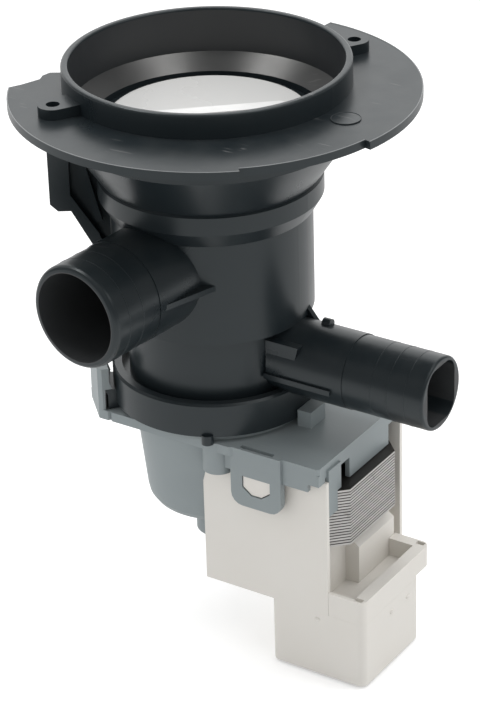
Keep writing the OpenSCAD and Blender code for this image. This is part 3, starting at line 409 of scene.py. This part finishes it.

# the throat's cone has a finish of its own, and its upright wall is painted paler as painted light
throat = {"coneTop": -8.5, "coneFoot": -14.05, "wallInside": 53.2, "rim": 8.4}
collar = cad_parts["mounting_flange"]
collar.data.materials.append(throatCone)
collar.data.materials.append(throatWallPaintedLight)
for face in collar.data.polygons:
    spot = (collar.matrix_world @ face.center) / mm
    inward = face.normal.x * spot.x + face.normal.y * spot.y < 0.0
    if inward and math.hypot(spot.x, spot.y) < throat["wallInside"]:
        if throat["coneFoot"] < spot.z < throat["coneTop"]:
            face.material_index = 1
        elif throat["coneTop"] <= spot.z < throat["rim"]:
            face.material_index = 2

# the ports: direction and height, where the bore is painted paler as painted light, and the moulded rings
# outside
ports = {
    "inlet": {"angle": -96.0, "level": -66.7, "boreRadius": 18.4, "boreFrom": 25.0,
              "ringRadius": 20.5, "rings": (65.3, 72.8)},
    "outlet": {"angle": 0.0, "level": -106.6, "boreRadius": 12.9, "boreFrom": 36.0,
               "ringRadius": 14.7, "rings": (78.8, 85.8, 93.3)},
}
borePaintedLight = makePlain("borePaintedLight", "matt", (0.042, 0.045, 0.047), 0.5)  # paler grey: painted light inside the bores
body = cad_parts["sump_body"]
body.data.materials.append(borePaintedLight)
for port in ports.values():
    turn = math.radians(port["angle"])
    axis = Vector((math.cos(turn), math.sin(turn), 0.0))
    for face in body.data.polygons:
        spot = body.matrix_world @ face.center - Vector((0.0, 0.0, port["level"] * mm))
        along = spot.dot(axis)
        if along > port["boreFrom"] * mm and (spot - along * axis).length < port["boreRadius"] * mm:
            face.material_index = 1

# the top of the cap's grip is painted near white and glossy: a painted highlight for the light that falls on
# it
grip = {"above": -12.9, "colour": (0.9, 0.9, 0.89), "rough": 0.2}
gripPaintedHighlight = makePlain("gripPaintedHighlight", "matt", grip["colour"], grip["rough"])
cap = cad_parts["filter_cap"]
cap.data.materials.append(gripPaintedHighlight)
for face in cap.data.polygons:
    if (cap.matrix_world @ face.center).z > grip["above"] * mm:
        face.material_index = 1
print("stage 2: finishes on", len(finishes), "nodes")


# soft edges of the moulded pieces, as a bevel on top of the solids
edgeSoftness = {"terminal_box": 0.8, "coil_cover": 0.7, "motor_frame": 0.35}
softBevel = {"segments": 3, "sharperThan": 40.0}

for name, width in edgeSoftness.items():
    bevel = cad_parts[name].modifiers.new("softEdges", "BEVEL")
    bevel.width = width * mm
    bevel.segments = softBevel["segments"]
    bevel.limit_method = "ANGLE"
    bevel.angle_limit = math.radians(softBevel["sharperThan"])
    bevel.use_clamp_overlap = True
    bevel.harden_normals = False
print("stage 3: edges softened on", len(edgeSoftness), "mouldings")


# small features that the solids leave out

def addPiece(obj, name, material, smooth=True):
    obj.name = name
    obj.data.materials.clear()
    obj.data.materials.append(material)
    for face in obj.data.polygons:
        face.use_smooth = smooth
    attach(obj, "housing")


def toMetres(place):
    return [mm * part for part in place]


def addRing(name, ring):
    bpy.ops.mesh.primitive_torus_add(
        location=toMetres(ring["place"]), rotation=ring["rotation"],
        major_segments=ring["segments"], minor_segments=ring["wireSegments"],
        major_radius=ring["radius"] * mm, minor_radius=ring["wire"] * mm)
    addPiece(bpy.context.object, name, blackPlastic)


# moulded rings round the ports
ringLook = {"wire": 0.2, "segments": 128, "wireSegments": 8}
for name, port in ports.items():
    turn = math.radians(port["angle"])
    for count, reach in enumerate(port["rings"], 1):
        addRing(f"{name}Ring{count}", {
            **ringLook,
            "radius": port["ringRadius"],
            "place": (reach * math.cos(turn), reach * math.sin(turn), port["level"]),
            "rotation": (0.0, math.radians(90), turn)})

# thin lip round the witness mark on the flange
witnessLip = {"place": (64.04, -5.51, 0.3), "rotation": (0.0, 0.0, 0.0), "radius": 5.55, "wire": 0.15,
              "segments": 96, "wireSegments": 8}
addRing("witnessLip", witnessLip)

# upright plates: each outline is (distance along the plate's line, height), with the sides across it
bracketAngle = -147.0
bracketPlates = {
    "bracketTail": {"outline": ((39.3, -50.0), (41.5, -50.0), (41.5, -62.5), (44.5, -66.5), (39.3, -78.0)),
                    "sides": (-1.05, 1.05)},
    "bracketFoot": {"outline": ((43.6, -61.2), (45.5, -67.0), (39.4, -78.8), (39.4, -67.4)),
                    "sides": (-3.95, 3.95)},
    "bracketRib": {"outline": ((52.2, -24.0), (49.5, -24.0), (42.1, -55.3), (44.6, -55.7)),
                   "sides": (0.9, 3.2)},
}

# catches of the white cover, which fill the windows of the grey side tabs
catchAngle = 0.0
catchOutline = ((33.05, -145.4), (45.3, -145.4), (45.3, -149.9),
                (41.2, -152.95), (36.85, -152.95), (33.05, -150.1))
coverCatches = {
    "coverCatchNear": {"outline": catchOutline, "sides": (-33.75, -28.6)},
    "coverCatchFar": {"outline": catchOutline, "sides": (28.6, 33.75)},
}


def addUprightPlate(name, plate, angle, material):
    turn = math.radians(angle)
    outward = Vector((math.cos(turn), math.sin(turn), 0.0))
    across = Vector((-math.sin(turn), math.cos(turn), 0.0))
    shape = bmesh.new()
    rings = []
    for side in plate["sides"]:
        rings.append([shape.verts.new((outward * reach + across * side + Vector((0.0, 0.0, level))) * mm)
                      for reach, level in plate["outline"]])
        shape.faces.new(rings[-1])
    for near in range(len(rings[0])):
        shape.faces.new((rings[0][near - 1], rings[0][near], rings[1][near], rings[1][near - 1]))
    bmesh.ops.recalc_face_normals(shape, faces=shape.faces)
    mesh = bpy.data.meshes.new(name)
    shape.to_mesh(mesh)
    shape.free()
    obj = bpy.data.objects.new(name, mesh)
    bpy.context.collection.objects.link(obj)
    addPiece(obj, name, material, False)


for name, plate in bracketPlates.items():
    addUprightPlate(name, plate, bracketAngle, blackPlastic)
for name, plate in coverCatches.items():
    addUprightPlate(name, plate, catchAngle, whitePlastic)

# upper edge of the flange: a fine bead just inside the solid's own round edges. Its pale grey is a painted
# highlight along the edge, on top of the real glints the bead catches
paintedEdgeHighlight = {
    "colour": (0.24, 0.25, 0.255), "rough": 0.35,
    "wire": 0.26, "wireSteps": 1, "sunk": 0.08,
    "beyond": 66.0,  # distance from the axis past which edges are taken
    "topFacing": 0.9, "sideFacing": 0.1, "roundness": 0.3,
    "levelWithin": 0.01, "digits": 3,
}


def isFlangeEdge(pair, facing):
    if len(pair) < 2 or max(facing) < paintedEdgeHighlight["topFacing"] or min(facing) > paintedEdgeHighlight["sideFacing"]:
        return False
    start, end = (Vector(corner) for corner in sorted(pair))
    level = max(abs(start.z), abs(end.z)) < paintedEdgeHighlight["levelWithin"]
    outer = min(start.xy.length, end.xy.length) > paintedEdgeHighlight["beyond"]
    return level and outer and abs((end - start).normalized().dot(start.normalized())) < paintedEdgeHighlight["roundness"]


def findFlangeEdges(obj):
    sides = {}
    for face in obj.data.polygons:
        places = [obj.matrix_world @ obj.data.vertices[index].co for index in face.vertices]
        corners = [tuple(round(part / mm, paintedEdgeHighlight["digits"]) for part in place) for place in places]
        for count, corner in enumerate(corners):
            sides.setdefault(frozenset((corners[count - 1], corner)), []).append(face.normal.z)
    return sorted(tuple(sorted(pair)) for pair, facing in sides.items() if isFlangeEdge(pair, facing))


def addPaintedEdgeHighlight(edges):
    points = {}
    links = [[points.setdefault(corner, len(points)) for corner in pair] for pair in edges]
    inside = [Vector(corner) * (1.0 - paintedEdgeHighlight["wire"] / Vector(corner).length) for corner in points]
    mesh = bpy.data.meshes.new("paintedEdgeHighlight")
    mesh.from_pydata([mm * (place - Vector((0.0, 0.0, paintedEdgeHighlight["sunk"]))) for place in inside], links, [])
    bead = bpy.data.objects.new("paintedEdgeHighlight", mesh)
    bpy.context.collection.objects.link(bead)
    bpy.ops.object.select_all(action="DESELECT")
    bead.select_set(True)
    bpy.context.view_layer.objects.active = bead
    bpy.ops.object.convert(target="CURVE")
    bead.data.bevel_depth = paintedEdgeHighlight["wire"] * mm
    bead.data.bevel_resolution = paintedEdgeHighlight["wireSteps"]
    bead.data.use_fill_caps = True
    bpy.ops.object.convert(target="MESH")
    # pale grey: painted highlight along the flange's upper edge
    highlightFinish = makePlain("paintedEdgeHighlight", "matt", paintedEdgeHighlight["colour"], paintedEdgeHighlight["rough"])
    addPiece(bead, "paintedEdgeHighlight", highlightFinish)


addPaintedEdgeHighlight(findFlangeEdges(collar))

# flat pips on the terminal box, with the half sizes along each axis
boxPips = {
    "rightPipNear": {"place": (83.8, -7.35, -206.0), "half": (0.9, 1.5, 0.85)},
    "rightPipFar": {"place": (83.8, 5.23, -205.9), "half": (0.9, 1.5, 0.85)},
    "frontPip": {"place": (62.8, -28.95, -204.2), "half": (1.3, 0.6, 0.7)},
}
pipSegments = 32
for name, pip in boxPips.items():
    bpy.ops.mesh.primitive_uv_sphere_add(
        segments=pipSegments, ring_count=pipSegments // 2, radius=1.0,
        location=toMetres(pip["place"]), scale=toMetres(pip["half"]))
    addPiece(bpy.context.object, name, whitePlastic)
print("stage 4: small features added")


# floor, light and camera

stageLook = {
    "floorColour": (0.84, 0.84, 0.84),
    "floorReach": 1.6,
    "floorRough": 0.9,
    "floorGloss": 0.1,
    "floorGlow": 0.35,
    "ambientFront": 0.42,
    "ambientBack": 0.9,
    "sideGain": 0.65,
    "sideways": (0.83, 0.56, 0.0),  # pale walls to the left and right of the part
    "mirrorBase": 0.22,
    "mirrorPeak": 1.45,
    "mirrorFrom": (-0.52, 0.77, 0.37),  # bright wall behind the part, seen in glossy faces
    "mirrorSpread": (0.55, 0.96),
}

lowest = cadBox[0][2]
bpy.ops.mesh.primitive_plane_add(size=2 * stageLook["floorReach"], location=(0, 0, lowest))
floor = bpy.context.object
floor.name = "paleFloor"

floorMaterial, tree, shader = startMaterial("paleFloor")
shader.inputs["Base Color"].default_value = (*stageLook["floorColour"], 1.0)
shader.inputs["Roughness"].default_value = stageLook["floorRough"]
shader.inputs["Specular IOR Level"].default_value = stageLook["floorGloss"]
seen = addNode(tree, "ShaderNodeLightPath").outputs["Is Camera Ray"]
shader.inputs["Emission Color"].default_value = (1.0, 1.0, 1.0, 1.0)
glow = mathNode(tree, "MULTIPLY", seen, stageLook["floorGlow"])  # only the camera sees this glow
tree.links.new(glow, shader.inputs["Emission Strength"])
floor.data.materials.append(floorMaterial)

world = bpy.data.worlds.new("whiteRoom")
bpy.context.scene.world = world
world.use_nodes = True
tree = world.node_tree
rays = addNode(tree, "ShaderNodeLightPath")
direct = mathNode(tree, "MAXIMUM", rays.outputs["Is Camera Ray"], rays.outputs["Is Transmission Ray"])
gaze = addNode(tree, "ShaderNodeTexCoord").outputs["Generated"]
along = addNode(tree, "ShaderNodeVectorMath", {0: gaze, 1: stageLook["mirrorFrom"]},
                operation="DOT_PRODUCT").outputs["Value"]
mirror = addNode(tree, "ShaderNodeMapRange", {
    "Value": along, "From Min": stageLook["mirrorSpread"][0], "From Max": stageLook["mirrorSpread"][1],
    "To Min": stageLook["mirrorBase"], "To Max": stageLook["mirrorPeak"]}, interpolation_type="SMOOTHSTEP")
ambient = addNode(tree, "ShaderNodeMapRange", {
    "Value": along, "From Min": -1.0, "From Max": 1.0,
    "To Min": stageLook["ambientFront"], "To Max": stageLook["ambientBack"]})
across = addNode(tree, "ShaderNodeVectorMath", {0: gaze, 1: stageLook["sideways"]},
                 operation="DOT_PRODUCT").outputs["Value"]
walls = mathNode(tree, "MULTIPLY", mathNode(tree, "MULTIPLY", across, across), stageLook["sideGain"])
soft = mathNode(tree, "ADD", ambient.outputs["Result"], walls)
glossy = addNode(tree, "ShaderNodeMix", {
    "Factor": rays.outputs["Is Glossy Ray"], 2: soft, 3: mirror.outputs["Result"]}).outputs[0]
strength = addNode(tree, "ShaderNodeMix", {"Factor": direct, 2: glossy, 3: 1.0}).outputs[0]
background = tree.nodes["Background"]
background.inputs["Color"].default_value = (1.0, 1.0, 1.0, 1.0)
tree.links.new(strength, background.inputs["Strength"])

lampAim = Vector((0.01, 0.0, -0.11))
lamps = {
    "rightBank": {"place": (0.72, 0.12, 0.85), "size": 0.8, "power": 2.0},
    "overheadLeft": {"place": (-0.5, -0.185, 0.96), "size": 0.32, "power": 2.6},
    "overheadRight": {"place": (0.29, 0.18, 1.04), "size": 0.3, "power": 1.7},
}
for name, lamp in lamps.items():
    data = bpy.data.lights.new(name, "AREA")
    data.size = lamp["size"]
    data.energy = lamp["power"]
    obj = bpy.data.objects.new(name, data)
    obj.location = lamp["place"]
    obj.rotation_euler = (lampAim - obj.location).to_track_quat("-Z", "Y").to_euler()
    bpy.context.collection.objects.link(obj)

photoView = {
    "target": (0.0, 0.0, 9.5 * mm),  # middle of the collar's rim
    "azimuth": 34.08,
    "elevation": 21.86,
    "distance": 1.052,
    "focalPixels": 2787.7,
    "targetPixel": (206.52, 57.79),
    "roll": -1.99,
    "frame": (480, 702),
    "sensor": 36.0,
    "clipEnd": 20.0,
}


def placeCamera(view):
    azimuth = math.radians(view["azimuth"])
    elevation = math.radians(view["elevation"])
    roll = math.radians(view["roll"])
    back = Vector((math.sin(azimuth) * math.cos(elevation), -math.cos(azimuth) * math.cos(elevation),
                   math.sin(elevation)))
    right = (-back).cross(Vector((0, 0, 1))).normalized()
    up = right.cross(-back)
    rolledRight = right * math.cos(roll) + up * math.sin(roll)
    rolledUp = up * math.cos(roll) - right * math.sin(roll)
    base = Matrix((rolledRight, rolledUp, -back))
    width, height = view["frame"]
    offset = Vector(((view["targetPixel"][0] - width / 2) / view["focalPixels"],
                     -(view["targetPixel"][1] - height / 2) / view["focalPixels"], 1.0)).normalized()
    turned = Vector((0, 0, 1)).rotation_difference(offset).to_matrix() @ base
    camera = bpy.data.cameras.new("photoCamera")
    camera.sensor_width = view["sensor"]
    camera.lens = view["focalPixels"] / max(width, height) * camera.sensor_width
    camera.clip_end = view["clipEnd"]
    obj = bpy.data.objects.new("photoCamera", camera)
    axes = Matrix((turned[0], turned[1], -turned[2])).transposed().to_4x4()
    obj.matrix_world = Matrix.Translation(Vector(view["target"]) + back * view["distance"]) @ axes
    bpy.context.collection.objects.link(obj)
    bpy.context.scene.camera = obj


placeCamera(photoView)
bpy.context.scene.view_settings.view_transform = "Standard"
print("stage 5: floor, light and camera")
